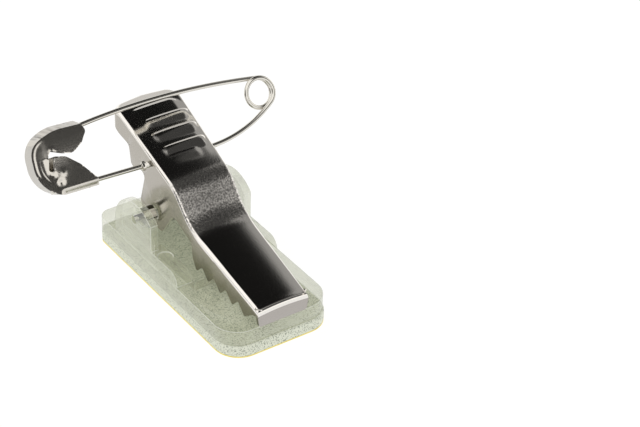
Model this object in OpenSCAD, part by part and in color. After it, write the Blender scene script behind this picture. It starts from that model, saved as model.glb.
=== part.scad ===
// Combination badge clip: a sprung metal jaw and a safety pin on a clear plastic base
// with a self-adhesive foam pad. Millimetres. X runs across the clip, -Y to the tip of
// the jaw, +Z up. The origin lies on the pad's adhesive face, on its long middle line and
// 15 mm behind its front end.

/* [Pad] */
// Length of the foam pad and its release liner
pad_len = 33.2; // [33:0.1:34]
// Width of the foam pad and its release liner
pad_wid = 16; // [15:0.5:18]
// Radius of the front corners of the pad and the plate
front_rad = 3.5; // [2.5:0.1:4]
// Radius of their rear corners
back_rad = 1.8; // [1.5:0.1:2.5]
// Thickness of the paper liner
liner_t = 0.15; // [0.1:0.05:0.25]
// Thickness of the foam pad
foam_t = 1.5; // [1.2:0.1:1.7]

/* [Plastic base] */
// Length of the base plate
plate_len = 32.9; // [32:0.1:34]
// How far the middle of the plate lies behind the origin
plate_back = 1.75; // [1:0.05:2.2]
// Height of the plate
plate_t = 2.25; // [2:0.05:2.5]
// Thickness of the floor under the jaw's lugs
floor_t = 0.8; // [0.6:0.1:1]
// Distance between the outer faces of the ears
ears_wid = 15.6; // [15:0.1:15.9]
// Thickness of an ear
ear_t = 1.1; // [0.9:0.1:1.3]
// Radius of the ear's round back
ear_rad = 5.5; // [5.2:0.1:5.8]

/* [Jaw] */
// Sheet thickness of the jaw
sheet = 0.5; // [0.4:0.05:0.6]
// Width of the jaw at its tip
tip_wid = 7.7; // [7.4:0.1:8]
// Width of the jaw at the end of the handle
handle_wid = 9.7; // [9.4:0.1:9.9]
// Number of teeth on each side
teeth = 5; // [4:1:5]
// Radius of the pivot stubs
pivot_r = 0.95; // [0.85:0.05:1]
// Running clearance around a pivot stub
pivot_gap = 0.05; // [0.03:0.01:0.08]

/* [Safety pin] */
// Diameter of the pin's wire
wire_d = 0.65; // [0.6:0.05:0.7]
// Radius of the coil, at the middle of the wire
coil_r = 2; // [1.9:0.05:2.1]
// Radius of the free arm's slight bow
bow_r = 108; // [100:1:120]
// Angle between the pin and the plate, seen from the side
pin_lean = 60; // [50:1:80]
// How far the fixed arm runs out of square with the jaw
pin_skew = 2.6; // [0:0.1:3]
// Thickness of the cap, over both faces
cap_t = 2.2; // [2.2:0.1:2.6]
// Sheet thickness of the cap
cap_sheet = 0.35; // [0.3:0.05:0.4]

/* [Hidden] */
$fn = 48;
eps = 0.01;
far = 60;

// The pad's front end and the heights of the base
pad_front = -15;
foam_z = liner_t;
plate_z = liner_t + foam_t;
plate_top = plate_z + plate_t;
floor_top = plate_z + floor_t;

// The plate, as wide as the pad, and its pocket
plate_front = plate_back - plate_len / 2;
plate_rear = plate_back + plate_len / 2;
pocket_wid = 10.4;
pocket_front = -2.3;
pocket_rear = plate_rear - 1.5;
mark_rad = 1.05;
mark_deep = 0.12;

// Ears, stubs and the low walls in front of them
pivot = [8.7, 8.2];
ear_mid = [8.1, 5.5];
ear_front = 4.3;
wall_wid = 2.3;
wall_front = -2.1;
wall_top = 5.6;
wall_round = 1.7;
stub_end = 3.4;
shoulder_r = 1.3;
shoulder_end = 4.85;
recess_r = 0.6;
recess_deep = 2.4;

// The jaw's side view as Y and Z, from the tip over the web to the rear fold
tip = [-14.9, 6.55];
neck_low = [0.2, 10.3];
neck_high = [4.1, 14.4];
neck_low_r = 8;
neck_high_r = 7;
rear = [19.75, 19.95];
rear_low = [19.75, 17.3];
rear_bow = 0.45;
rear_corner = 1.7;
bite = plate_top + 0.1;
tooth_first = -1.2;
tooth_pitch = 2.7;
tooth_root = bite + 1.35;
pivot_hole_r = pivot_r + pivot_gap;

// Slope of the jaw's sides in plan: the half width at a given Y
side_slope = (handle_wid - tip_wid) / 2 / (rear[0] - tip[0]);
function half_wid(y) = tip_wid / 2 + (y - tip[0]) * side_slope;

// Grip ribs on the handle: distance of the first from the rear end, pitch and size
rib_count = 3;
rib_first = 5.4;
rib_pitch = 2.5;
rib_len = 6;
rib_r = 0.42;
rib_sunk = 0.1;

// The safety pin lies in a plane through its fixed arm, which runs along X
wire_r = wire_d / 2;
arm_axis = [9.55, 15.1];
arm_hole_r = wire_r + 0.06;
coil_mid = [13.9, 5.1];
turn_gap = 0.06;
coil_part = 290;
coil_back = 230;
coil_rise = wire_d + turn_gap;
bend_start = 4.2;
leave_angle = 7.5;
bow_turn = 15;
fixed_end = -17;
point_len = 2.6;
nib_out = 0.75;
nib_size = [0.8, 1.25, 0.34];

// The strip of the leaf spring
spring_wid = 6;
spring_t = 0.3;

// One rounded corner at b on the way from a to c
function unit(v) = v / norm(v);
function corner(a, b, c, r, steps) =
    let (u = unit(a - b), v = unit(c - b), half = acos(max(-1, min(1, u * v))) / 2)
    r < eps || half > 89.5 ? [b] :
    let (m = b + unit(u + v) * r / sin(half), s = b + u * r / tan(half), e = b + v * r / tan(half),
         a0 = atan2(s[1] - m[1], s[0] - m[0]), a1 = atan2(e[1] - m[1], e[0] - m[0]),
         turn = a1 - a0 > 180 ? a1 - a0 - 360 : a1 - a0 < -180 ? a1 - a0 + 360 : a1 - a0)
    [for (i = [0:steps]) m + r * [cos(a0 + turn * i / steps), sin(a0 + turn * i / steps)]];

// A closed outline from rows of [point, corner radius]
function outline(rows, steps = 4) =
    let (n = len(rows))
    [for (i = [0:n - 1]) each corner(rows[(i + n - 1) % n][0], rows[i][0], rows[(i + 1) % n][0], rows[i][1], steps)];

// A plate standing across X whose outline is given as Y and Z
module side_plate(x0, x1) {
    translate([x0, 0, 0]) rotate([90, 0, 90]) linear_extrude(x1 - x0) children();
}

// A cylinder along X at a point given as Y and Z
module cross_rod(at, r, x0, x1) {
    translate([x0, at[0], at[1]]) rotate([0, 90, 0]) cylinder(h = x1 - x0, r = r);
}

// A slab as wide as the pad, with round corners
module round_slab(y0, y1, thick) {
    half = pad_wid / 2;
    linear_extrude(thick) union() {
        translate([-half, y0 + front_rad]) square([pad_wid, y1 - y0 - front_rad - back_rad]);
        translate([front_rad - half, y0]) square([pad_wid - 2 * front_rad, front_rad + 1]);
        translate([back_rad - half, y1 - back_rad - 1]) square([pad_wid - 2 * back_rad, back_rad + 1]);
        for (sx = [-1, 1]) {
            translate([sx * (half - front_rad), y0 + front_rad]) circle(front_rad);
            translate([sx * (half - back_rad), y1 - back_rad]) circle(back_rad);
        }
    }
}

module release_liner() {
    color([0.97, 0.9, 0.52]) round_slab(pad_front, pad_front + pad_len, liner_t);
}

module foam_pad() {
    color([0.95, 0.95, 0.93]) translate([0, 0, foam_z]) round_slab(pad_front, pad_front + pad_len, foam_t);
}

// An ear as Y and Z: round at the back, straight at the front
module ear_outline() {
    intersection() {
        translate(ear_mid) circle(ear_rad);
        translate([ear_front, plate_top - 0.5]) square([far, far]);
    }
}

// The low wall in front of an ear, with a round front end
module wall_outline() {
    translate([wall_front + wall_round, floor_top]) square([ear_front - wall_front - wall_round + 1, wall_top - floor_top]);
    translate([wall_front, floor_top]) square([wall_round + 1, wall_top - wall_round - floor_top]);
    translate([wall_front + wall_round, wall_top - wall_round]) circle(wall_round);
}

module base_side() {
    outer = ears_wid / 2;
    difference() {
        union() {
            side_plate(outer - ear_t, outer) ear_outline();
            side_plate(outer - wall_wid, outer) wall_outline();
            cross_rod(pivot, shoulder_r, shoulder_end, outer - ear_t + eps);
            cross_rod(pivot, pivot_r, stub_end, shoulder_end + eps);
        }
        cross_rod(pivot, recess_r, outer - recess_deep, outer + 1);
        translate([outer - wall_wid / 2, 2.6, wall_top - mark_deep]) cylinder(h = 1, r = mark_rad);
    }
}

module base_plate() {
    color([0.74, 0.78, 0.7, 0.6]) union() {
        difference() {
            translate([0, 0, plate_z]) round_slab(plate_front, plate_rear, plate_t);
            translate([-pocket_wid / 2, pocket_front, floor_top]) cube([pocket_wid, pocket_rear - pocket_front, far]);
        }
        base_side();
        mirror([1, 0, 0]) base_side();
    }
}

// Outer side view of the jaw: web, tip, teeth, lug and the stepped edge of the handle
function jaw_rows() = concat(
    [[tip, 0.7], [neck_low, neck_low_r], [neck_high, neck_high_r], [rear, 1.5], [rear_low, 0.3]],
    [[[17.2, 16.1], 1.5], [[14.75, 15.6], 0.8], [[14.2, 12.5], 0.7], [[10.7, 13.5], 0.8]],
    [[[12.1, 8.4], 1.2], [[10.9, 6.1], 1.4], [[6.9, 6.1], 0.8], [[4.3, 10.2], 1.1], [[-0.1, 8.3], 1.2]],
    [[[tooth_first + 0.9, tooth_root + 0.2], 0.2]],
    [for (k = [0:teeth - 1]) each [
        [[tooth_first - k * tooth_pitch, bite], 0.25],
        [[tooth_first - (k + 0.5) * tooth_pitch, tooth_root], 0.3]]],
    [[[tooth_first - (teeth - 0.5) * tooth_pitch - 0.35, tooth_root], 0], [[tip[0] + sheet + 0.1, bite], 0]],
    [[[tip[0], bite], 0]]);

// The hollow under the web, the same profile one sheet further in
function hollow_rows() =
    let (dn = sheet * 1.03)
    [[[tip[0] + sheet, tip[1] - dn], 0.25], [neck_low + [0.15, -dn], neck_low_r + sheet],
     [neck_high + [0.2, -sheet * 1.22], neck_high_r - sheet],
     [[rear[0] - sheet, rear[1] - dn - sheet * 0.34], 1.0], [[rear[0] - sheet, -far / 2], 0],
     [[tip[0] + sheet, -far / 2], 0]];

// Plan of the jaw, narrower by the given amount all round, with a bowed rear end
module jaw_plan(inset) {
    y0 = tip[0] - 1;
    y1 = rear[0] - inset;
    x0 = half_wid(y0) - inset;
    x1 = half_wid(y1) - inset;
    polygon(outline([[[-x0, y0], 0], [[x0, y0], 0], [[x1, y1 - rear_bow], rear_corner - inset], [[0, y1], 30],
                     [[-x1, y1 - rear_bow], rear_corner - inset]], 5));
}

module prism_along_z() {
    translate([0, 0, -far / 2]) linear_extrude(far * 1.5) children();
}

// Direction of the handle and a place on it, given by the distance from its rear end
handle_dir = unit(neck_high - rear);
handle_up = [handle_dir[1], -handle_dir[0]];
function on_handle(d, sunk) = rear + handle_dir * d - handle_up * sunk;

module grip_rib(d) {
    at = on_handle(d, rib_sunk);
    cross_rod(at, rib_r, -rib_len / 2, rib_len / 2);
    for (sx = [-1, 1]) translate([sx * rib_len / 2, at[0], at[1]]) sphere(rib_r);
}

module jaw() {
    color([0.62, 0.6, 0.56]) difference() {
        union() {
            intersection() {
                side_plate(-far / 2, far / 2) polygon(outline(jaw_rows()));
                prism_along_z() jaw_plan(0);
            }
            for (i = [0:rib_count - 1]) grip_rib(rib_first + i * rib_pitch);
        }
        intersection() {
            side_plate(-far / 2, far / 2) polygon(outline(hollow_rows()));
            prism_along_z() jaw_plan(sheet);
        }
        cross_rod(pivot, pivot_hole_r, -far / 2, far / 2);
        in_pin_plane() rod(-far / 2, far / 2, 0, arm_hole_r);
        for (sx = [-1, 1]) translate([sx * tip_wid / 2, tip[0], bite]) cube([2 * sheet + 0.1, 2 * sheet + 0.5, 3.2], center = true);
    }
}

// The spring is one bent strip: its short foot rests on the floor of the base, its bend lies
// between the stubs and its upper leg presses the underside of the handle
spring_low = floor_top + 0.05 + spring_t / 2;
spring_rows = [[16, spring_low], [13, spring_low], [7.2, 7.2], [9.2, 13.4], [14.5, 16.95]];
spring_bends = [0, 2, 1.5, 2, 0];

function spring_mid() = [for (i = [0:len(spring_rows) - 1])
    each i == 0 || i == len(spring_rows) - 1 ? [spring_rows[i]] :
        corner(spring_rows[i - 1], spring_rows[i], spring_rows[i + 1], spring_bends[i], 6)];

// Points beside a line of points, at a distance to its left
function beside(p, d) = [for (i = [0:len(p) - 1])
    let (a = p[max(0, i - 1)], b = p[min(len(p) - 1, i + 1)], t = unit(b - a)) p[i] + d * [-t[1], t[0]]];

function backwards(p) = [for (i = [len(p) - 1:-1:0]) p[i]];

module leaf_spring() {
    mid = spring_mid();
    color([0.5, 0.5, 0.5]) side_plate(-spring_wid / 2, spring_wid / 2)
        polygon(concat(beside(mid, spring_t / 2), backwards(beside(mid, -spring_t / 2))));
}

// The pin's own plane: X along the arms, Y from the fixed arm to the free arm
module in_pin_plane() {
    translate([0, arm_axis[0], arm_axis[1]]) rotate([pin_lean, 0, 0]) rotate([0, 0, -pin_skew]) children();
}

module rod(x0, x1, y, r) {
    translate([x0, y, 0]) rotate([0, 90, 0]) cylinder(h = x1 - x0, r = r);
}

// Part of a ring of wire about a centre, from one angle over a number of degrees
module wire_arc(mid, radius, from, degrees) {
    translate([mid[0], mid[1], 0]) rotate([0, 0, from]) rotate_extrude(angle = degrees, $fn = 96)
        translate([radius, 0]) circle(wire_r, $fn = 24);
}

// The fixed arm bends in one wide arc that runs tangent into the coil
bend_run = coil_mid[0] - bend_start;
bend_r = (bend_run * bend_run + coil_mid[1] * coil_mid[1] - coil_r * coil_r) / (2 * (coil_mid[1] - coil_r));
bend_turn = atan2(bend_run, bend_r - coil_mid[1]);

// A ball a hair thicker than the wire where two lengths of it meet
module meeting(at) {
    translate([at[0], at[1], 0]) sphere(wire_r + 0.01);
}

module pin_wire() {
    flange = half_wid(arm_axis[0]);
    color([0.72, 0.7, 0.66]) in_pin_plane() union() {
        rod(fixed_end, bend_start, 0, wire_r);
        wire_arc([bend_start, bend_r], bend_r, -90, bend_turn);
        wire_arc(coil_mid, coil_r, bend_turn - 90, coil_part);
        meeting([bend_start, 0]);
        meeting(coil_mid + coil_r * [sin(bend_turn), -cos(bend_turn)]);
        translate([-flange - nib_out, 0, 0]) cube(nib_size, center = true);
    }
}

// The free arm leaves the coil behind the fixed arm and bows out slightly
leave_at = coil_mid + coil_r * [sin(leave_angle), cos(leave_angle)];
bow_mid = coil_mid - (bow_r - coil_r) * [sin(leave_angle), cos(leave_angle)];
bow_end = 90 - leave_angle + bow_turn;

module pin_arm() {
    color([0.72, 0.7, 0.66]) in_pin_plane() translate([0, 0, -coil_rise]) union() {
        wire_arc(coil_mid, coil_r, -coil_back, coil_back + 90 - leave_angle);
        wire_arc(bow_mid, bow_r, 90 - leave_angle, bow_turn);
        meeting(leave_at);
        translate([bow_mid[0] + bow_r * cos(bow_end), bow_mid[1] + bow_r * sin(bow_end), 0]) {
            meeting([0, 0]);
            rotate([0, 0, bow_end + 90]) rotate([0, 90, 0]) cylinder(h = point_len, r1 = wire_r, r2 = 0.05);
        }
    }
}

// Outline of the cap in the pin's plane, with the window between its two lobes
cap_rows = [[[-13.1, 8.1], 0.4], [[-17.4, 8.1], 6], [[-20.85, 6.5], 3.2], [[-20.85, 1.2], 4.2],
            [[-17.8, -0.75], 3], [[-12.5, -0.75], 0.4], [[-12.5, 3.6], 1]];
window_rows = [[[-19.0, 4.9], 0.8], [[-17.7, 5.15], 0.5], [[-15.6, 4.3], 1.6], [[-13.2, 5.3], 1.6], [[-12.9, 7.1], 0.3],
               [[-8, 7.1], 0], [[-8, 0.45], 0], [[-12.6, 0.45], 0.2], [[-14.9, 3.4], 4], [[-18.2, 4.15], 0.2],
               [[-18.4, 2.4], 0.3], [[-19.2, 2.8], 0.6]];
cap_mid = [-16.9, 3.7];
cap_hollow = 0.925;

module cap_shape(inner) {
    k = inner ? cap_hollow : 1;
    translate(cap_mid * (1 - k)) scale(k) polygon(outline(cap_rows, 5));
}

module pin_cap() {
    hole = wire_r + 0.08;
    color([0.72, 0.7, 0.66]) in_pin_plane() difference() {
        translate([0, 0, -(coil_rise + cap_t) / 2]) linear_extrude(cap_t) cap_shape(false);
        translate([0, 0, -(coil_rise + cap_t) / 2 + cap_sheet]) linear_extrude(cap_t - 2 * cap_sheet) cap_shape(true);
        translate([0, 0, -far / 2]) linear_extrude(far) polygon(outline(window_rows, 4));
        rod(-14, -8, 0, hole);
        translate([-14, 5, -coil_rise - hole]) cube([6, 2.75, 2 * hole]);
    }
}

release_liner();
foam_pad();
base_plate();
leaf_spring();
jaw();
pin_wire();
pin_arm();
pin_cap();
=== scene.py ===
"""Looks of the combination badge clip: a metal jaw and a safety pin on a clear base with a foam pad.

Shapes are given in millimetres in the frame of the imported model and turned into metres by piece().
"""

import math

import bmesh
import bpy
import numpy as np
from mathutils import Matrix, Vector
from mathutils.geometry import delaunay_2d_cdt


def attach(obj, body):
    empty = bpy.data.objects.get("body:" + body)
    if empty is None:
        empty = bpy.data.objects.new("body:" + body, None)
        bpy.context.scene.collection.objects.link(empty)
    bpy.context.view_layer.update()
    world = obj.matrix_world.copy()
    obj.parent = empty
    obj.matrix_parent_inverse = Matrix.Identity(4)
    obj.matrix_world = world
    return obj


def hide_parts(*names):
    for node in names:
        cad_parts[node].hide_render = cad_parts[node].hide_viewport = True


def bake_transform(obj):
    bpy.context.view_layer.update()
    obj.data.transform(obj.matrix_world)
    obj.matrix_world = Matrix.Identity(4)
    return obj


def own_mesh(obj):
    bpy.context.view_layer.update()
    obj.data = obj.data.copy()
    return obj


MM = 0.001


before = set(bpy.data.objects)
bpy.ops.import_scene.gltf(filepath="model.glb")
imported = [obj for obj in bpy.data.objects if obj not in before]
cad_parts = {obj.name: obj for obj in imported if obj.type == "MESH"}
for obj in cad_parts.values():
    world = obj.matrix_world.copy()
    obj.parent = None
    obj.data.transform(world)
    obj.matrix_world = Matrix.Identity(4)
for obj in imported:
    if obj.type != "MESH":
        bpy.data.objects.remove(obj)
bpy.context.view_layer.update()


# Node helpers
def new_material(name):
    material = bpy.data.materials.new(name)
    material.use_nodes = True
    nodes = material.node_tree.nodes
    return material, nodes, material.node_tree.links, nodes["Principled BSDF"]


def own_place(nodes):
    """The place on the piece, in its own coordinates."""
    return nodes.new("ShaderNodeTexCoord").outputs["Object"]


def grain(nodes, links, size):
    """Noise with grains of about size millimetres."""
    noise = nodes.new("ShaderNodeTexNoise")
    noise.inputs["Scale"].default_value = 1 / (size * MM)
    links.new(own_place(nodes), noise.inputs["Vector"])
    return noise.outputs["Fac"]


def add_bump(nodes, links, shader, noise, strength, depth=0.02):
    bump = nodes.new("ShaderNodeBump")
    bump.inputs["Strength"].default_value = strength
    bump.inputs["Distance"].default_value = depth * MM
    links.new(noise, bump.inputs["Height"])
    links.new(bump.outputs["Normal"], shader.inputs["Normal"])
    return bump


def separate(nodes, links, vector):
    apart = nodes.new("ShaderNodeSeparateXYZ")
    links.new(vector, apart.inputs["Vector"])
    return apart.outputs


def calculate(nodes, links, operation, *values):
    """A Math node fed by sockets or numbers."""
    node = nodes.new("ShaderNodeMath")
    node.operation = operation
    for socket, value in zip(node.inputs, values):
        if isinstance(value, float):
            socket.default_value = value
        else:
            links.new(value, socket)
    return node.outputs[0]


def map_range(nodes, links, value, source, target, smooth=False):
    """A node that maps the pair of values source onto the pair target."""
    ramp = nodes.new("ShaderNodeMapRange")
    if smooth:
        ramp.interpolation_type = "SMOOTHSTEP"
    ramp.inputs["From Min"].default_value = source[0]
    ramp.inputs["From Max"].default_value = source[1]
    ramp.inputs["To Min"].default_value = target[0]
    ramp.inputs["To Max"].default_value = target[1]
    links.new(value, ramp.inputs["Value"])
    return ramp


def colour_ramp(nodes, links, value, low_colour, high_colour, low=0.0, high=1.0):
    """Goes from one colour to another as the value goes from low to high."""
    ramp = nodes.new("ShaderNodeValToRGB")
    for element, place, colour in zip(ramp.color_ramp.elements, (low, high), (low_colour, high_colour)):
        element.position = place
        element.color = (*colour, 1)
    links.new(value, ramp.inputs["Fac"])
    return ramp.outputs["Color"]


# Materials
# Distance from the middle of a worn place up to which it is fully dull, from which it is polished again,
# and up to which it has dark grains
DULL_TO = 1.5
POLISHED_FROM = 4.5
GRAINS_TO = 3.5
DARKEST_GRAIN = 0.38


def metal(name, colour, roughness, size, strength):
    material, nodes, links, shader = new_material(name)
    shader.inputs["Metallic"].default_value = 1
    shader.inputs["Base Color"].default_value = (*colour, 1)
    shader.inputs["Roughness"].default_value = roughness
    add_bump(nodes, links, shader, grain(nodes, links, size), strength)
    return material


def worn_metal(name, colour, size, middle, polished, worn):
    """Polished sheet, duller and rougher around one place along Y.

    The pairs polished and worn hold the roughness and the strength of the bump.
    """
    material, nodes, links, shader = new_material(name)
    shader.inputs["Metallic"].default_value = 1
    noise = grain(nodes, links, size)
    bump = add_bump(nodes, links, shader, noise, 1)
    off = calculate(nodes, links, "SUBTRACT", separate(nodes, links, own_place(nodes))["Y"], middle * MM)
    away = calculate(nodes, links, "ABSOLUTE", off)
    for socket, low, high in zip((shader.inputs["Roughness"], bump.inputs["Strength"]), worn, polished):
        ramp = map_range(nodes, links, away, (DULL_TO * MM, POLISHED_FROM * MM), (low, high), smooth=True)
        links.new(ramp.outputs["Result"], socket)
    # Dark and light grains on the worn place
    darkest = map_range(nodes, links, away, (DULL_TO * MM, GRAINS_TO * MM), (DARKEST_GRAIN, 1))
    grains = map_range(nodes, links, noise, (0.36, 0.6), (0, 1))
    links.new(darkest.outputs["Result"], grains.inputs["To Min"])
    tone = colour_ramp(nodes, links, grains.outputs["Result"], (0, 0, 0), colour)
    links.new(tone, shader.inputs["Base Color"])
    return material


def paint_shade_by_height(material, low_colour, high_colour, low, high):
    """Paints shade into a colour: it gets darker lower on the piece, for the shade low down near the plate.
    """
    nodes, links = material.node_tree.nodes, material.node_tree.links
    height = separate(nodes, links, own_place(nodes))["Z"]
    level = map_range(nodes, links, height, (low * MM, high * MM), (0, 1))
    tone = colour_ramp(nodes, links, level.outputs["Result"], low_colour, high_colour)
    links.new(tone, nodes["Principled BSDF"].inputs["Base Color"])


def speckled(name, light, dark, low, high, size, roughness, painted_glow=0.0):
    """A pale stuff with small dark specks; its emission is painted light that brightens it where it lies in
    shade, standing for light that wanders inside it.
    """
    material, nodes, links, shader = new_material(name)
    noise = grain(nodes, links, size)
    tone = colour_ramp(nodes, links, noise, dark, light, low, high)
    links.new(tone, shader.inputs["Base Color"])
    # Painted light: the stuff gives off light in its own colour.
    links.new(tone, shader.inputs["Emission Color"])
    shader.inputs["Emission Strength"].default_value = painted_glow
    shader.inputs["Roughness"].default_value = roughness
    add_bump(nodes, links, shader, noise, strength=0.3, depth=0.04)
    return material


def clear_plastic(name, haze, tint, clear, roughness, gloss):
    """See-through plastic.

    Tinted light goes straight on, a little is scattered, and the surface shines at a slant.
    """
    material, nodes, links, milk = new_material(name)
    milk.inputs["Base Color"].default_value = (*haze, 1)
    milk.inputs["Roughness"].default_value = 0.6
    milk.inputs["Specular IOR Level"].default_value = 0
    through = nodes.new("ShaderNodeBsdfTransparent")
    through.inputs["Color"].default_value = (*tint, 1)
    body = nodes.new("ShaderNodeMixShader")
    body.inputs["Fac"].default_value = clear
    links.new(milk.outputs["BSDF"], body.inputs[1])
    links.new(through.outputs["BSDF"], body.inputs[2])
    shine = nodes.new("ShaderNodeBsdfGlossy")
    shine.inputs["Roughness"].default_value = roughness
    slant = nodes.new("ShaderNodeLayerWeight")
    slant.inputs["Blend"].default_value = gloss
    top = nodes.new("ShaderNodeMixShader")
    links.new(slant.outputs["Facing"], top.inputs["Fac"])
    links.new(body.outputs["Shader"], top.inputs[1])
    links.new(shine.outputs["BSDF"], top.inputs[2])
    links.new(top.outputs["Shader"], nodes["Material Output"].inputs["Surface"])
    return material


NICKEL = worn_metal(
    "nickel_sheet", (0.80, 0.775, 0.735), size=0.25, middle=2.2, polished=(0.12, 0.12), worn=(0.2, 1.0)
)
SATIN = metal("nickel_side", (0.44, 0.415, 0.37), 0.25, 0.12, 0.1)
# Painted shade: the sides' colour darkens towards their lower edge.
paint_shade_by_height(SATIN, (0.27, 0.255, 0.20), (0.44, 0.415, 0.37), low=5.5, high=11)
FRONT = metal("nickel_front", (0.42, 0.395, 0.37), 0.25, 0.12, 0.1)
WIRE = metal("nickel_wire", (0.68, 0.66, 0.61), 0.08, 0.2, 0.05)
CAP = metal("nickel_cap", (0.60, 0.575, 0.53), 0.14, 0.12, 0.35)
CAP_SIDE = metal("nickel_cap_side", (0.54, 0.52, 0.48), 0.3, 0.12, 0.1)
SPRING = metal("spring_steel", (0.4, 0.4, 0.4), 0.25, 0.2, 0.1)
PLASTIC = clear_plastic(
    "clear_plastic", (0.64, 0.66, 0.55), (0.968, 0.973, 0.925), clear=0.84, roughness=0.05, gloss=0.12
)
# Painted highlight: a lighter, hazier plastic on the rounded edges, for the thin light lines that the edges
# catch.
EDGE_HIGHLIGHT = clear_plastic(
    "plastic_edge_painted_highlight", (0.90, 0.92, 0.84), (0.93, 0.94, 0.90), clear=0.5, roughness=0.1, gloss=0.2
)
# Painted reflections for the bands in the ears' bores: a bright mirror and a near-black one, put on faces
# of the clear plastic.
BORE_PAINTED_GLINT = metal("plastic_bore_painted_glint", (0.92, 0.93, 0.88), 0.1, 0.3, 0.1)
BORE_PAINTED_SHADE = metal("plastic_bore_painted_shade", (0.05, 0.05, 0.035), 0.3, 0.3, 0.1)
# The foam's emission is painted light that keeps it bright where the jaw shades it.
FOAM = speckled(
    "foam", (0.29, 0.30, 0.25), (0.08, 0.09, 0.065), low=0.36, high=0.47, size=0.17, roughness=0.7, painted_glow=1.4
)
LINER = speckled(
    "liner", (0.93, 0.80, 0.24), (0.88, 0.72, 0.18), low=0.3, high=0.6, size=0.3, roughness=0.5
)


# Mesh helpers
def piece(name, points, faces, material, sharp=35):
    mesh = bpy.data.meshes.new(name)
    mesh.from_pydata([[MM * c for c in p] for p in points], [], faces)
    mesh.validate()
    mesh.materials.append(material)
    obj = bpy.data.objects.new(name, mesh)
    bpy.context.scene.collection.objects.link(obj)
    smooth(obj, sharp)
    return obj


def smooth(obj, sharp):
    for polygon in obj.data.polygons:
        polygon.use_smooth = True
    obj.data.set_sharp_from_angle(angle=math.radians(sharp))


def tidy(obj, flip=False):
    """Merges doubles and points the faces outward."""
    bm = bmesh.new()
    bm.from_mesh(obj.data)
    bmesh.ops.remove_doubles(bm, verts=bm.verts, dist=1e-7)
    bmesh.ops.recalc_face_normals(bm, faces=bm.faces)
    if flip:
        bmesh.ops.reverse_faces(bm, faces=bm.faces)
    bm.to_mesh(obj.data)
    bm.free()


def solidify(obj, thickness):
    """Gives a sheet its thickness, on the inner side of its faces."""
    m = obj.modifiers.new("thickness", "SOLIDIFY")
    m.thickness = thickness * MM
    m.offset = -1


def bevel(obj, width, segments=2, angle=50, material=-1):
    m = obj.modifiers.new("bevel", "BEVEL")
    m.material = material
    m.width = width * MM
    m.segments = segments
    m.limit_method = "ANGLE"
    m.angle_limit = math.radians(angle)


def apply_modifiers(obj, sharp):
    graph = bpy.context.evaluated_depsgraph_get()
    mesh = bpy.data.meshes.new_from_object(obj.evaluated_get(graph))
    obj.modifiers.clear()
    obj.data = mesh
    smooth(obj, sharp)


def smoothstep(low, high, value):
    t = np.clip((value - low) / (high - low), 0, 1)
    return t * t * (3 - 2 * t)


def rounded(rows, closed=True, steps=10):
    """An outline from rows of (point, corner radius)."""
    out = []
    n = len(rows)
    for i, (b, r) in enumerate(rows):
        b = np.array(b, float)
        if r < 0.01 or (not closed and i in (0, n - 1)):
            out.append(b)
            continue
        a = np.array(rows[(i - 1) % n][0], float)
        c = np.array(rows[(i + 1) % n][0], float)
        u = (a - b) / np.linalg.norm(a - b)
        v = (c - b) / np.linalg.norm(c - b)
        half = math.acos(max(-1, min(1, float(u @ v)))) / 2
        w = (u + v) / np.linalg.norm(u + v)
        m = b + w * r / math.sin(half)
        s = b + u * r / math.tan(half) - m
        e = b + v * r / math.tan(half) - m
        a0 = math.atan2(s[1], s[0])
        turn = (math.atan2(e[1], e[0]) - a0 + math.pi) % (2 * math.pi) - math.pi
        for k in range(steps + 1):
            angle = a0 + turn * k / steps
            out.append(m + r * np.array([math.cos(angle), math.sin(angle)]))
    return np.array(out)


def circle(mid, r, n):
    turns = [2 * math.pi * k / n for k in range(n)]
    return np.array([(mid[0] + r * math.cos(t), mid[1] + r * math.sin(t)) for t in turns])


def resample(line, step):
    """The same polyline with points about step apart."""
    gaps = np.linalg.norm(np.diff(line, axis=0), axis=1)
    total = np.concatenate([[0], np.cumsum(gaps)])
    at = np.linspace(0, total[-1], max(2, int(total[-1] / step)))
    return np.stack([np.interp(at, total, line[:, k]) for k in (0, 1)], axis=1)


def inside(loops, points):
    """Which points lie within the loops, holes counted as outside."""
    x, y = points[:, 0], points[:, 1]
    odd = np.zeros(len(points), bool)
    for loop in loops:
        a, b = loop, np.roll(loop, -1, axis=0)
        for (x0, y0), (x1, y1) in zip(a, b):
            if y0 == y1:
                continue
            odd ^= ((y0 > y) != (y1 > y)) & (x < x0 + (y - y0) * (x1 - x0) / (y1 - y0))
    return odd


def loop_distance(loop, points, closed=True):
    """Distance of each point from a polyline."""
    a = loop if closed else loop[:-1]
    b = np.roll(loop, -1, axis=0) if closed else loop[1:]
    best = np.full(len(points), 1e9)
    for p, q in zip(a, b):
        d = q - p
        size = max(float(d @ d), 1e-12)
        t = np.clip(((points - p) @ d) / size, 0, 1)
        best = np.minimum(best, np.linalg.norm(points - p - t[:, None] * d, axis=1))
    return best


def fill(loops, extra=()):
    """Triangles that fill the loops, with extra points inside; holes stay open."""
    points, edges = [], []
    for loop in loops:
        base = len(points)
        points += [Vector(p) for p in loop]
        edges += [(base + i, base + (i + 1) % len(loop)) for i in range(len(loop))]
    points += [Vector(p) for p in extra]
    verts, _, faces, *_ = delaunay_2d_cdt(points, edges, [], 0, 1e-6)
    verts = np.array([list(v) for v in verts])
    centres = np.array([verts[list(f)].mean(axis=0) for f in faces])
    keep = inside(loops, centres)
    return verts, [list(f) for f, k in zip(faces, keep) if k]


def strip_faces(n):
    """Faces between two equal rings of n points, the second of which follows the first."""
    return [(i, (i + 1) % n, n + (i + 1) % n, n + i) for i in range(n)]


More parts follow.
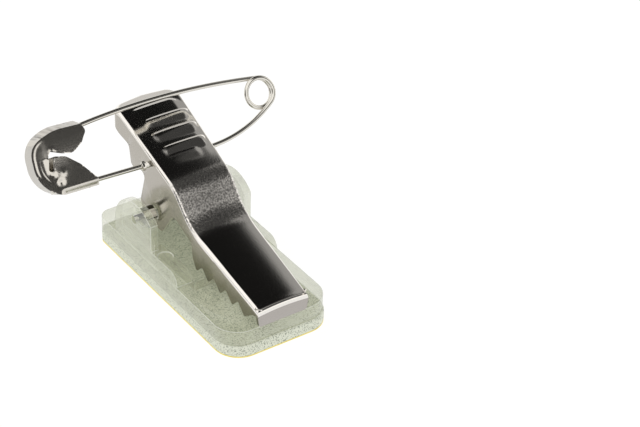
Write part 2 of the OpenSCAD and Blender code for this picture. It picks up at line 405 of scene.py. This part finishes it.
# Jaw: its sheet's thickness, places as Y and Z, bend radii, and half widths in plan
SHEET = 0.5
TIP = (-14.9, 6.55)
NECK_LOW = (0.2, 10.3)
NECK_HIGH = (4.1, 14.4)
REAR = (19.75, 20.25)
NECK_LOW_R = 8
NECK_HIGH_R = 7
TIP_HALF = 3.85
REAR_HALF = 4.85
REAR_BOW = 0.45
REAR_CORNER = 1.7
PIVOT = (8.7, 8.2)
PIVOT_HOLE = 1.0
BITE = 4.0
TOOTH_ROOT = 5.35
TOOTH_FIRST = -1.2
TOOTH_PITCH = 2.7
# How much higher each tooth is than the next one towards the tip
TOOTH_LIFT = 0.14
# The web is crowned across, more so in front of the neck
CROWN_LIFT = 0.1
CROWN_FRONT = 0.26
CROWN_REAR = 0.14
# The tip droops a little
DROOP = 0.12
DROOP_LEN = 1.5
# The last stretch of the handle levels out
LEVEL_LEN = 3.3
# Grip ribs: distance of the rear foot from the rear end, height, left and right end
RIBS = [(5.35, 0.24, -2.4, 4.3), (7.75, 0.24, -2.6, 4.2), (10.2, 0.22, -2.5, 4.0), (11.65, 0.06, -2.2, 2.2)]
# Height of the panel around the ribs
PANEL = 0.2
# Rows of faces over the fold all round the jaw
FOLD_ROWS = 9
# Width of the bevel on the sheet's cut edges, and least angle of an edge that is bevelled
CUT_EDGE = 0.07
CUT_ANGLE = 82


def half_wid(y):
    return TIP_HALF + (y - TIP[0]) * (REAR_HALF - TIP_HALF) / (REAR[0] - TIP[0])


def line_z(a, b, y):
    return a[1] + (b[1] - a[1]) * (y - a[0]) / (b[0] - a[0])


# Side view of the web, run on past both ends
web_ends = [(-17, line_z(TIP, NECK_LOW, -17)), (22, line_z(NECK_HIGH, REAR, 22))]
web_rows = [(web_ends[0], 0), (NECK_LOW, NECK_LOW_R), (NECK_HIGH, NECK_HIGH_R), (web_ends[1], 0)]
web_line = rounded(web_rows, closed=False, steps=30)
handle_len = math.hypot(REAR[0] - NECK_HIGH[0], REAR[1] - NECK_HIGH[1])
handle_cos = (REAR[0] - NECK_HIGH[0]) / handle_len


def ribs_z(x, d):
    """Height of the grip ribs, each steep at its rear and running out slowly to the front."""
    z = 0
    for at, high, left, right in RIBS:
        across = smoothstep(left - 0.3, left + 0.5, x) * (1 - smoothstep(right - 0.5, right + 0.1, x))
        rightward = smoothstep(left, right, x)
        ridge = smoothstep(0, 0.4 + 0.12 * rightward, d - at) * (1 - smoothstep(0.5, 2.1, d - at))
        z = z + high * (0.5 + 0.5 * rightward) * across * ridge
    return z


def panel_z(x, d):
    """Height of the pressed panel around the ribs, which starts with a bowed step near the rear end."""
    step = LEVEL_LEN + 0.45 * np.clip(np.abs(x + 0.1) - 2.6, 0, 9) ** 2
    panel = smoothstep(step - 0.3, step + 0.3, d) * (1 - smoothstep(9, 15, d))
    return PANEL * panel * (1 - smoothstep(3.0, 4.4, x)) * (1 - smoothstep(1.0, 4.6, -x))


def web_z(x, y):
    """Height of the web's outer face."""
    z = np.interp(y, web_line[:, 0], web_line[:, 1])
    crown = CROWN_FRONT - (CROWN_FRONT - CROWN_REAR) * smoothstep(0, 6, y)
    z = z + CROWN_LIFT - crown * (x / half_wid(y)) ** 2
    z = z - DROOP * np.clip(1 - (y - TIP[0]) / DROOP_LEN, 0, 1) ** 2
    # Distance from the rear end along the handle
    d = (REAR[0] - y) / handle_cos
    short = np.clip(LEVEL_LEN - d, 0, 4)
    z = z - 0.15 * np.minimum(short, 1) ** 2 - 0.3 * np.maximum(short - 1, 0)
    return z + ribs_z(x, d) + panel_z(x, d)


def half_plan():
    """Half of the jaw's plan, from the middle of the tip to the middle of the rear end.

    Gives the points, their fold radii, and the indices of the corners and of the ends of the straight side.
    """
    y_end = REAR[0] - REAR_BOW
    corner = (half_wid(TIP[0]), TIP[0])
    tip_edge = [(x, TIP[0]) for x in np.linspace(0, corner[0], 18)[:-1]]
    rear_rows = [(corner, 0), ((half_wid(y_end), y_end), REAR_CORNER), ((0, REAR[0]), 0)]
    arc = rounded(rear_rows, closed=False, steps=12)[1:-1]
    # The handle, with its ribs, has the closest rows
    ys = np.concatenate([np.linspace(TIP[0], 4, 64), np.linspace(4.1, arc[0][1], 170)])[1:-1]
    side = [(half_wid(y), y) for y in ys]
    end = [arc[-1] + (np.array([0, REAR[0]]) - arc[-1]) * t for t in np.linspace(0, 1, 14)[1:]]
    points = np.array([*tip_edge, corner, *side, *map(tuple, arc), *map(tuple, end)])
    first = len(tip_edge)
    last = first + 1 + len(side)
    marks = {"corner_tip": first, "side_from": first, "side_to": last, "corner_rear": last + len(arc) // 2}
    y = points[:, 1]
    # The fold is wide at the tip, tight at the neck and widest at the rear end
    fold = 0.62 - 0.22 * smoothstep(-3, 0.5, y)
    fold = fold + 0.08 * smoothstep(4, 6, y) + 0.45 * smoothstep(16.5, 19.3, y)
    return points, fold, marks


def inset(loop, inward, by):
    """The plan's outline moved inward, with mitred corners at the tip."""
    at = loop + inward * by[:, None]
    limit = half_wid(at[:, 1]) - by
    return np.stack([np.clip(at[:, 0], -limit, limit), np.maximum(at[:, 1], TIP[0] + by)], axis=1)


def jaw_folds(loop, fold):
    """Points and faces of the fold all round, and the plan of its inner border, which is its first row."""
    count = len(loop)
    along = np.roll(loop, -1, axis=0) - np.roll(loop, 1, axis=0)
    along /= np.linalg.norm(along, axis=1)[:, None]
    inward = np.stack([-along[:, 1], along[:, 0]], axis=1)
    # Towards the tip the fold is taller than wide
    front = 1 - smoothstep(-9, -4, loop[:, 1])
    wide = fold * (1 - 0.2 * front)
    deep = fold * (1 + 0.25 * front)
    crest = inset(loop, inward, wide)
    top = web_z(crest[:, 0], crest[:, 1])
    points, faces = [], []
    for k in range(FOLD_ROWS + 1):
        blend = 1 - k / FOLD_ROWS
        t = math.pi / 2 * blend
        at = inset(loop, inward, wide * (1 - math.cos(t)))
        z = top * blend + web_z(at[:, 0], at[:, 1]) * (1 - blend) - deep * (1 - math.sin(t))
        points += [(p[0], p[1], h) for p, h in zip(at, z)]
    for k in range(FOLD_ROWS):
        row = k * count
        for i in range(count):
            j = (i + 1) % count
            faces.append((row + i, row + count + i, row + count + j, row + j))
    return points, faces, crest


def jaw_top(points, faces, crest, marks, n_half):
    """Adds the top sheet between the four borders of the crest, as a grid that follows them."""
    count = len(crest)
    ct, cr = marks["corner_tip"], marks["corner_rear"]
    # Points that the mitre brings together are taken once
    right = [ct] + [i for i in range(ct, cr + 1) if crest[i][1] > crest[ct][1] + 0.001]
    left = [(count - i) % count for i in right]
    half_tip = [i for i in range(0, ct) if crest[i][0] < crest[ct][0] - 0.001] + [ct]
    tip = [(count - i) % count for i in half_tip[:0:-1]] + half_tip
    rear = [(count - i) % count for i in range(cr, n_half - 1)] + list(range(n_half - 1, cr - 1, -1))
    x_tip, x_rear = crest[tip][:, 0], crest[rear][:, 0]
    u_tip = (x_tip - x_tip[0]) / (x_tip[-1] - x_tip[0])
    u_rear = (x_rear - x_rear[0]) / (x_rear[-1] - x_rear[0])
    rear_line = np.stack([np.interp(u_tip, u_rear, crest[rear][:, k]) for k in (0, 1)], axis=1)
    y_side = crest[right][:, 1]
    v = (y_side - y_side[0]) / (y_side[-1] - y_side[0])
    index = np.zeros((len(right), len(tip)), int)
    index[:, 0] = left
    index[:, -1] = right
    index[0] = tip
    for i in range(1, len(right)):
        for j in range(1, len(tip) - 1):
            a, b = u_tip[j], v[i]
            p = (1 - b) * crest[tip[j]] + b * rear_line[j]
            p = p + (1 - a) * crest[left[i]] + a * crest[right[i]]
            p = p - (1 - b) * ((1 - a) * crest[left[0]] + a * crest[right[0]])
            p = p - b * ((1 - a) * crest[left[-1]] + a * crest[right[-1]])
            index[i, j] = len(points)
            points.append((p[0], p[1], float(web_z(p[0], p[1]))))
    for i in range(len(right) - 1):
        for j in range(len(tip) - 1):
            square = (index[i, j], index[i, j + 1], index[i + 1, j + 1], index[i + 1, j])
            faces.append(tuple(int(q) for q in square))
    # The last row of the grid meets the rear border through a fan of thin triangles
    last = [int(q) for q in index[-1]]
    a, b = 0, 0
    while a < len(last) - 1 or b < len(rear) - 1:
        step_a = points[last[a + 1]][0] if a < len(last) - 1 else math.inf
        step_b = points[rear[b + 1]][0] if b < len(rear) - 1 else math.inf
        if step_a < step_b:
            faces.append((last[a], last[a + 1], rear[b]))
            a += 1
        else:
            faces.append((last[a], rear[b + 1], rear[b]))
            b += 1


def jaw_walls(points, faces, half, marks, count):
    """Adds flat flanges with teeth and holes, and short walls round the two ends."""
    # First point of the fold's lowest row
    wall = FOLD_ROWS * count
    s0, s1 = marks["side_from"], marks["side_to"]
    lower = flange_edge(half[s1][1], half[s0][1])
    for side in (1, -1):
        ids = [(i if side == 1 else (count - i) % count) for i in range(s0, s1 + 1)]
        upper = [(points[wall + i][1], points[wall + i][2]) for i in ids]
        outline = np.array(upper + [tuple(p) for p in lower])
        verts, tris = fill([outline, circle(PIVOT, PIVOT_HOLE, 40), wire_hole(side)])
        base = len(points)
        points += [(side * half_wid(p[0]), p[0], p[1]) for p in verts]
        faces += [tuple(base + q for q in (t if side == 1 else t[::-1])) for t in tris]
    for i in range(count):
        j = (i + 1) % count
        if s0 <= i < s1 or count - s1 <= i < count - s0:
            continue
        base = len(points)
        for q in (i, j):
            x, y, _ = points[wall + q]
            points.append((x, y, end_bottom(x, y)))
        faces.append((wall + i, wall + j, base + 1, base))


def on_mitre(v):
    """True for a point on the line where the folds of a side and of the tip meet."""
    off = half_wid(v.y) - abs(v.x) - (v.y - TIP[0])
    return abs(off) < 0.02 and v.y < TIP[0] + 0.7


def make_jaw():
    half, fold, marks = half_plan()
    # The whole loop: the right half from tip to rear, then the left half back
    loop = np.concatenate([half, (half[1:-1] * [-1, 1])[::-1]])
    fold = np.concatenate([fold, fold[1:-1][::-1]])
    points, faces, crest = jaw_folds(loop, fold)
    jaw_top(points, faces, crest, marks, len(half))
    jaw_walls(points, faces, half, marks, len(loop))
    jaw = piece("jaw_sheet", points, faces, NICKEL)
    tidy(jaw)
    if web_looks_down(jaw):
        tidy(jaw, flip=True)
    solidify(jaw, SHEET)
    bevel(jaw, CUT_EDGE, angle=CUT_ANGLE)
    apply_modifiers(jaw, 40)
    for edge in jaw.data.edges:
        if all(on_mitre(jaw.data.vertices[i].co / MM) for i in edge.vertices):
            edge.use_edge_sharp = True
    jaw.data.materials.append(SATIN)
    jaw.data.materials.append(FRONT)
    for face in jaw.data.polygons:
        if abs(face.normal.x) > 0.97:
            face.material_index = 1
        elif face.normal.y < -0.995:
            face.material_index = 2
    return jaw


def web_looks_down(jaw):
    up = sum(f.normal.z * f.area for f in jaw.data.polygons if abs(f.normal.z) > 0.8)
    return up < 0


def end_bottom(x, y):
    """Height of the lower edge round the tip and round the rear end."""
    if y > 0:
        return line_z((17.2, 16.1), (REAR[0], 17.3), min(y, REAR[0]))
    return BITE + 1.6 * float(smoothstep(3.6, 3.7, abs(x)))


def flange_edge(y_rear, y_tip):
    """Lower edge of a flange from the rear to the tip, as Y and Z."""
    rows = [((y_rear, end_bottom(0, y_rear)), 0), ((17.2, 16.1), 1.2), ((14.75, 15.6), 0.8)]
    rows += [((14.2, 12.5), 0.7), ((10.7, 13.5), 0.8), ((12.1, 8.4), 1.2), ((10.9, 6.1), 1.4)]
    rows += [((6.9, 6.1), 0.8), ((4.3, 10.2), 1.1), ((-0.1, 8.3), 1.2), ((-0.3, TOOTH_ROOT + 0.8), 0.2)]
    for k in range(5):
        lift = TOOTH_LIFT * (4 - k)
        y = TOOTH_FIRST - TOOTH_PITCH * k
        rows += [((y, BITE + lift), 0.3), ((y - 0.45 * TOOTH_PITCH, TOOTH_ROOT + lift), 0.3)]
    rows[-1] = ((-13.7, TOOTH_ROOT), 0)
    rows += [((y_tip, TOOTH_ROOT + 0.3), 0)]
    return rounded(rows, closed=False, steps=8)


# The pin's own plane: U along the fixed arm, V towards the free arm, W out of the plane to the front
PIN_TURN = Matrix.Rotation(math.radians(60), 3, "X") @ Matrix.Rotation(math.radians(-2.6), 3, "Z")
PIN_AT = Vector((0, 9.55, 15.1))


def from_pin(u, v, w):
    return PIN_TURN @ Vector((u, v, w)) + PIN_AT


def wire_hole(side):
    """Hole for the fixed arm in a flange, as Y and Z."""
    axis = PIN_TURN @ Vector((1, 0, 0))
    at = PIN_AT + axis * (side * half_wid(PIN_AT.y) / axis.x)
    return circle((at.y, at.z), WIRE_R + 0.06, 24)


# Safety pin
WIRE_R = 0.325
WIRE_SIDES = 20
COIL_MID = (13.9, 5.1)
COIL_R = 2.0
COIL_RISE = 0.71
BEND_START = 4.2
LEAVE = math.radians(7.5)
BOW_R = 108
BOW_TURN = math.radians(15)
FIXED_END = -19.0
POINT_LEN = 2.6
# Distance of the crimp's ring and of its flat nib from the left flange
RING_OUT = 0.28
NIB_OUT = 0.95


def pin_path():
    """The centreline of the whole wire in the pin's plane, with the wire's radius at each point."""
    run = COIL_MID[0] - BEND_START
    bend_r = (run * run + COIL_MID[1] ** 2 - COIL_R**2) / (2 * (COIL_MID[1] - COIL_R))
    turn = math.atan2(run, bend_r - COIL_MID[1])
    path = [(u, 0, 0) for u in np.arange(FIXED_END, BEND_START, 0.1)]
    for t in np.linspace(0, turn, 48):
        path.append((BEND_START + bend_r * math.sin(t), bend_r * (1 - math.cos(t)), 0))
    start = turn - math.pi / 2
    sweep = math.pi / 2 - LEAVE + 2 * math.pi - start
    for t in np.linspace(0, 1, 130)[1:]:
        a = start + sweep * t
        rise = -COIL_RISE * float(smoothstep(0, 1, t))
        path.append((COIL_MID[0] + COIL_R * math.cos(a), COIL_MID[1] + COIL_R * math.sin(a), rise))
    reach = BOW_R - COIL_R
    bow = (COIL_MID[0] - reach * math.sin(LEAVE), COIL_MID[1] - reach * math.cos(LEAVE))
    for t in np.linspace(0, BOW_TURN, 120)[1:]:
        a = math.pi / 2 - LEAVE + t
        path.append((bow[0] + BOW_R * math.cos(a), bow[1] + BOW_R * math.sin(a), -COIL_RISE))
    radii = [WIRE_R] * len(path)
    a = math.pi - LEAVE + BOW_TURN
    end = path[-1]
    for t in np.linspace(0, 1, 16)[1:]:
        path.append((end[0] + math.cos(a) * POINT_LEN * t, end[1] + math.sin(a) * POINT_LEN * t, end[2]))
        radii.append(max(0.03, WIRE_R * (1 - t) ** 0.8))
    return np.array(path), np.array(radii)


def crimp(out):
    """How much wider and thicker the wire is at a distance out from the left flange."""
    ring = 1 - float(smoothstep(0.1, 0.24, abs(out - RING_OUT)))
    nib = 1 - float(smoothstep(0.18, 0.4, abs(out - NIB_OUT)))
    return 1 + 0.35 * ring + 0.95 * nib, 1 + 0.35 * ring - 0.4 * nib


def make_wire():
    path, radii = pin_path()
    points, faces = [], []
    for i, (p, r) in enumerate(zip(path, radii)):
        ahead = path[min(i + 1, len(path) - 1)] - path[max(i - 1, 0)]
        ahead /= np.linalg.norm(ahead)
        across = np.cross((0, 0, 1), ahead)
        across /= np.linalg.norm(across)
        up = np.cross(ahead, across)
        wide, thick = crimp(-p[0] - half_wid(PIN_AT.y)) if -8 < p[0] < 0 and abs(p[1]) < 0.2 else (1, 1)
        for k in range(WIRE_SIDES):
            t = 2 * math.pi * k / WIRE_SIDES
            q = p + across * (r * wide * math.cos(t)) + up * (r * thick * math.sin(t))
            points.append(tuple(from_pin(*q)))
    for i in range(len(path) - 1):
        faces += [tuple(i * WIRE_SIDES + q for q in face) for face in strip_faces(WIRE_SIDES)]
    faces.append(tuple(range(WIRE_SIDES))[::-1])
    faces.append(tuple((len(path) - 1) * WIRE_SIDES + k for k in range(WIRE_SIDES)))
    wire = piece("safety_pin", points, faces, WIRE)
    tidy(wire)
    return wire


# Cap of the safety pin, in the pin's plane: outer edge and the edges of its two lobes
CAP_T = 2.2
CAP_SHEET = 0.35
CAP_OUT = [((-13.1, 8.0), 0.4), ((-17.4, 8.1), 6), ((-20.85, 6.5), 3.2)]
CAP_OUT += [((-20.85, 1.2), 4.2), ((-17.8, -0.75), 3), ((-12.45, -0.7), 0.4)]
LOBE_HIGH = [((-12.6, 6.8), 1.0), ((-13.5, 5.2), 1.2), ((-15.2, 4.1), 1.4)]
LOBE_HIGH += [((-17.4, 4.95), 0.5), ((-18.0, 5.3), 0.2), ((-18.45, 4.7), 0.2)]
LOBE_LOW = [((-18.9, 2.7), 0.3), ((-18.1, 2.35), 0.2), ((-17.95, 4.1), 0.15)]
LOBE_LOW += [((-16.4, 4.2), 1.5), ((-14.4, 2.6), 3), ((-12.45, 0.2), 0.15)]
CAP_GRID = 0.15
# Depth of the steps pressed into the left end, and how far the upper edge of the front face leans back
CAP_STEP = 0.1
CAP_LEAN = 0.45
# Dents and nibs of the crimp: place, radius and height
CRIMPS = [(-18.4, 2.0, 0.4, -0.12), (-17.6, 0.9, 0.45, -0.15)]
CRIMPS += [(-17.0, 2.1, 0.4, 0.06), (-17.9, 5.2, 0.3, 0.08)]


def cap_relief(x, y, rim):
    """Height of the cap's pressed forms at a place with the distance rim from the outer edge."""
    channel = 1 - smoothstep(-19.4, -18.3, x)
    # Two steps at the left end, the upper one near the rim and the lower one further in
    upper = smoothstep(1.6, 3.0, y) * np.clip((8 - y) / 4, 0, 1)
    lower = smoothstep(-0.2, 0.8, y) * np.clip((5.5 - y) / 5, 0, 1)
    steps = upper * smoothstep(0.3, 0.6, rim) + lower * smoothstep(0.95, 1.2, rim)
    high = -CAP_STEP * channel * steps
    # The upper lobe falls and the lower one rises a little towards its free edge
    left = 1 - smoothstep(-17.2, -14.5, x)
    dish = np.where(y > 4.25, 0.01 * np.clip(7 - y, 0, 3) ** 2, -0.009 * left * np.clip(y - 0.3, 0, 4) ** 2)
    high = high - dish * (1 - channel)
    # The lower edge is rolled in, from the left end's steps to the right
    rolled = (1 - smoothstep(0, 0.8, rim)) * smoothstep(-18, -17, x) * (1 - smoothstep(0.6, 1.2, y))
    high = high - 0.3 * rolled
    for u, v, r, bump in CRIMPS:
        high = high + bump * np.exp(-((x - u) ** 2 + (y - v) ** 2) / r**2)
    return high


def make_cap():
    outer = resample(rounded(CAP_OUT, closed=False, steps=14), 0.16)
    inner_rows = [(CAP_OUT[0][0], 0)] + LOBE_HIGH + LOBE_LOW + [(CAP_OUT[-1][0], 0)]
    inner = resample(rounded(inner_rows, closed=False, steps=8)[1:-1], 0.14)
    loop = np.concatenate([outer, inner[::-1]])
    columns, lines = np.arange(-22, -12, CAP_GRID), np.arange(-1.5, 9, CAP_GRID)
    grid = np.array([(x, y) for x in columns for y in lines])
    keep = inside([loop], grid) & (loop_distance(loop, grid) > 0.08)
    verts, tris = fill([loop], grid[keep])
    relief = cap_relief(verts[:, 0], verts[:, 1], loop_distance(outer, verts, closed=False))
    lean = CAP_LEAN * smoothstep(5.5, 8, verts[:, 1])
    mid = -COIL_RISE / 2
    points = [tuple(from_pin(x, y - s, mid + CAP_T / 2 + h)) for (x, y), s, h in zip(verts, lean, relief)]
    n = len(points)
    points += [tuple(from_pin(x, y, mid - CAP_T / 2 - h)) for (x, y), h in zip(verts, relief)]
    faces = [tuple(t) for t in tris] + [tuple(n + q for q in t[::-1]) for t in tris]
    ids = [int(np.argmin(np.linalg.norm(verts - p, axis=1))) for p in outer]
    faces += [(a, b, n + b, n + a) for a, b in zip(ids, ids[1:])]
    cap = piece("pin_cap_sheet", points, faces, CAP)
    tidy(cap)
    front = sum(f.normal.y * f.area for f in cap.data.polygons if f.index < len(tris))
    if front > 0:
        tidy(cap, flip=True)
    solidify(cap, CAP_SHEET)
    bevel(cap, 0.08, 3, 55)
    apply_modifiers(cap, 50)
    cap.data.materials.append(CAP_SIDE)
    out = PIN_TURN @ Vector((0, 0, 1))
    for face in cap.data.polygons:
        if abs(face.normal.dot(out)) < 0.4:
            face.material_index = 1
    return cap


# Base: the blind bore in each ear and the shoulder of its stub get painted reflections, bright and dark
# bands along the axis put on the clear plastic in place of the light it bends there; the bands are given as
# from and to in degrees round the axis, with the index of the painted bright or the painted dark material
BRIGHT = 2
DARK = 3
BANDS = [(50, 80, BRIGHT), (80, 115, DARK), (115, 165, BRIGHT), (165, 190, DARK)]
# Least and largest radius, and least and largest distance from the middle, of the two round faces
BORE_AT = (0.5, 0.65, 5.2, 7.7)
SHOULDER_AT = (1.15, 1.4, 4.85, 6.7)


def soft_copy(node, name, materials, width, segments):
    """The node's own shape with its edges rounded; the second material goes on the rounded edges."""
    obj = bpy.data.objects.new(name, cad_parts[node].data.copy())
    bpy.context.scene.collection.objects.link(obj)
    obj.data.materials.clear()
    for material in materials:
        obj.data.materials.append(material)
    bm = bmesh.new()
    bm.from_mesh(obj.data)
    bmesh.ops.remove_doubles(bm, verts=bm.verts, dist=2e-6)
    bmesh.ops.dissolve_limit(bm, angle_limit=math.radians(1), verts=bm.verts, edges=bm.edges)
    bm.to_mesh(obj.data)
    bm.free()
    bevel(obj, width, segments, 40, 1)
    apply_modifiers(obj, 40)
    return obj


def make_base():
    # The rounded edges take the painted highlight.
    base = soft_copy("base_plate", "base_moulding", (PLASTIC, EDGE_HIGHLIGHT, BORE_PAINTED_GLINT, BORE_PAINTED_SHADE), 0.14, 3)
    for face in base.data.polygons:
        place = face.center / MM
        y, z = place.y - PIVOT[0], place.z - PIVOT[1]
        off, turn = math.hypot(y, z), math.degrees(math.atan2(z, y))
        for r0, r1, x0, x1 in (BORE_AT, SHOULDER_AT):
            if not (r0 < off < r1 and x0 < abs(place.x) < x1):
                continue
            # Each band's faces take its painted reflection material.
            for start, end, index in BANDS:
                if start < turn < end:
                    face.material_index = index
    return base


# Pad and spring
PAD_CORNERS = (3.5, 1.8)
# The foam's top stays this far below the plate
FOAM_BELOW = 0.005
# Middle line of the spring strip as Y and Z with bend radii, from its foot to the underside of the handle
SPRING_ROWS = [((16, 2.65), 0), ((13, 2.65), 2), ((7.2, 7.2), 1.5), ((9.2, 13.4), 2), ((14.5, 16.95), 0)]
SPRING_HALF = 3
SPRING_T = 0.3


def make_slab(name, node, edge, material, lower=0.0):
    """A flat sheet of the pad over the node's box, with round corners; its top may lie a bit lower."""
    places = np.array([list(v.co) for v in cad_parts[node].data.vertices]) / MM
    (x0, y0, z0), (x1, y1, z1) = places.min(axis=0).round(3), places.max(axis=0).round(3)
    front, rear = PAD_CORNERS
    ring = rounded([((x1, y0), front), ((x1, y1), rear), ((x0, y1), rear), ((x0, y0), front)], steps=12)
    n = len(ring)
    points = [(*p, z0) for p in ring] + [(*p, z1 - lower) for p in ring]
    faces = strip_faces(n) + [tuple(range(n))[::-1], tuple(range(n, 2 * n))]
    slab = piece(name, points, faces, material)
    bevel(slab, edge, 3, 50)
    apply_modifiers(slab, 40)
    return slab


def make_spring():
    mid = rounded(SPRING_ROWS, False, 14)
    side = np.gradient(mid, axis=0)
    side /= np.linalg.norm(side, axis=1)[:, None]
    out = np.stack([-side[:, 1], side[:, 0]], axis=1) * SPRING_T / 2
    ring = np.concatenate([mid + out, (mid - out)[::-1]])
    n = len(ring)
    points = [(-SPRING_HALF, *p) for p in ring] + [(SPRING_HALF, *p) for p in ring]
    faces = strip_faces(n)
    for k in range(n // 2 - 1):
        faces.append((k, k + 1, n - 2 - k, n - 1 - k))
        faces.append((n + k, 2 * n - 1 - k, 2 * n - 2 - k, n + k + 1))
    spring = piece("spring_strip", points, faces, SPRING)
    tidy(spring)
    return spring


jaw = make_jaw()
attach(jaw, "jaw")
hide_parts("jaw")

wire = make_wire()
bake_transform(wire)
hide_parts("pin_wire", "pin_arm")

cap = make_cap()
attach(cap, "pin")
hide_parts("pin_cap")

base = make_base()
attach(base, "base")
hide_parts("base_plate")

foam = make_slab("foam_layer", "foam_pad", 0.12, FOAM, FOAM_BELOW)
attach(foam, "base")
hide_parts("foam_pad")

liner = make_slab("liner_paper", "release_liner", 0.02, LINER)
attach(liner, "base")
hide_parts("release_liner")

spring = make_spring()
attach(spring, "base")
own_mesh(spring)
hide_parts("leaf_spring")


# Table, light and camera
TABLE_HALF = 2000
# Dim patches of the studio: direction, inner and outer angle in degrees, level
SKY_PATCHES = [
    ((0.25, 0.33, 0.9), 17, 27, 0.005),
    ((0.42, -0.2, 0.88), 14, 24, 0.04),
    ((0.44, -0.6, 0.66), 3, 22, 0.27),
    ((0.42, -0.78, 0.46), 13, 18, 0.05),
    ((0.44, 0.78, 0.42), 8, 26, 0.55),
    ((-0.895, -0.27, 0.355), 12, 24, 0.05),
    ((0.7, 0.3, 0.65), 15, 29, 0.3),
]
SKY_COLOUR = (1.0, 0.985, 0.96)
SKY_LEVEL = 1.25
# Level of the dark strip above the table's far edge, its height, and where it ends to the right
STRIP_LEVEL = 0.03
STRIP_Z = (0.03, 0.09)
STRIP_X = (-0.4, -0.1)


def make_table():
    material, nodes, links, shader = new_material("white_table")
    shader.inputs["Base Color"].default_value = (0.25, 0.25, 0.25, 1)
    shader.inputs["Roughness"].default_value = 1
    shader.inputs["Specular IOR Level"].default_value = 0
    shader.inputs["Emission Color"].default_value = (1, 1, 1, 1)
    shader.inputs["Emission Strength"].default_value = 0.84
    square = [(x * TABLE_HALF, y * TABLE_HALF, 0) for x, y in ((-1, -1), (1, -1), (1, 1), (-1, 1))]
    floor = piece("floor", square, [(0, 1, 2, 3)], material)
    floor.location.z = -0.00002


def sky_patch(nodes, links, direction, centre, inner, outer, level):
    """1 outside a round patch of the sky and level inside it."""
    dot = nodes.new("ShaderNodeVectorMath")
    dot.operation = "DOT_PRODUCT"
    links.new(direction, dot.inputs[0])
    dot.inputs[1].default_value = Vector(centre).normalized()
    edge = (math.cos(math.radians(outer)), math.cos(math.radians(inner)))
    return map_range(nodes, links, dot.outputs["Value"], edge, (1, level), smooth=True).outputs["Result"]


def horizon_strip(nodes, links, direction):
    """A dark strip above the table's far edge, on the left side only."""
    apart = separate(nodes, links, direction)
    over_z = map_range(nodes, links, apart["Z"], STRIP_Z, (STRIP_LEVEL, 1)).outputs["Result"]
    over_x = map_range(nodes, links, apart["X"], STRIP_X, (STRIP_LEVEL, 1)).outputs["Result"]
    return calculate(nodes, links, "MAXIMUM", over_z, over_x)


def make_sky():
    world = bpy.data.worlds.new("studio")
    bpy.context.scene.world = world
    world.use_nodes = True
    nodes, links = world.node_tree.nodes, world.node_tree.links
    direction = nodes.new("ShaderNodeTexCoord").outputs["Generated"]
    light = horizon_strip(nodes, links, direction)
    for row in SKY_PATCHES:
        light = calculate(nodes, links, "MINIMUM", light, sky_patch(nodes, links, direction, *row))
    strength = calculate(nodes, links, "MULTIPLY", light, SKY_LEVEL)
    background = nodes["Background"]
    background.inputs["Color"].default_value = (*SKY_COLOUR, 1)
    links.new(strength, background.inputs["Strength"])


def make_camera():
    data = bpy.data.cameras.new("camera")
    data.lens = 118.125
    data.sensor_width = 36
    data.shift_x = 0.172
    data.shift_y = 0.018
    data.clip_start = 0.01
    camera = bpy.data.objects.new("camera", data)
    place = Vector((-0.1211, -0.18747, 0.1651))
    right = Vector((0.84291, -0.53805, 0))
    up = Vector((0.30764, 0.48194, 0.82042))
    back = Vector((-0.44143, -0.69154, 0.57176))
    turn = Matrix((right, up, back)).transposed().to_4x4()
    camera.matrix_world = Matrix.Translation(place) @ turn
    bpy.context.scene.collection.objects.link(camera)
    bpy.context.scene.camera = camera


make_table()
make_sky()
make_camera()
bpy.context.scene.view_settings.view_transform = "Standard"
